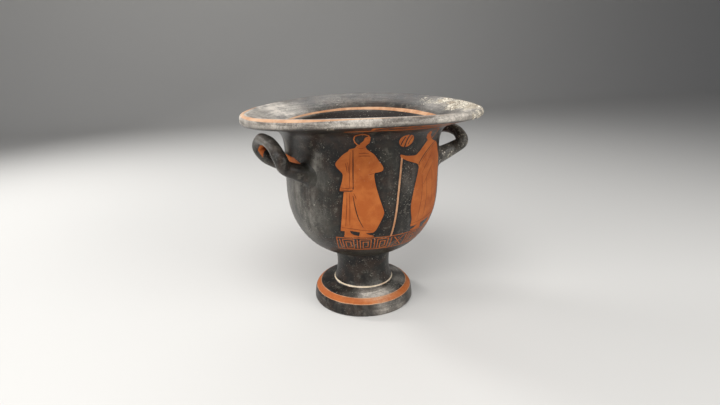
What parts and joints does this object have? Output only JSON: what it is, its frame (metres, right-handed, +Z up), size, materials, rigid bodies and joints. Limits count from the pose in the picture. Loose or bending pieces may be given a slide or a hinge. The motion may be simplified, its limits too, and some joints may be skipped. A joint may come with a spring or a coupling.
{
  "type": "bell krater",
  "caption": "Footed bell-shaped clay mixing bowl with a wide flaring lip, two upturned loop handles and a reserved painted frieze.",
  "frame": {"origin": "on the vessel's axis in the plane it stands on, centre of the foot", "axes": "+Z up along the vessel's axis, painted front towards -Y, one handle at +X and the other near -X"},
  "size_m": [0.3776, 0.3776, 0.3345],
  "materials": {
    "glossed_clay": "worn satin black gloss over orange clay, lime deposit on the lip"
  },
  "bodies": {
    "root": {"krater": "glossed_clay"}
  },
  "joints": []
}
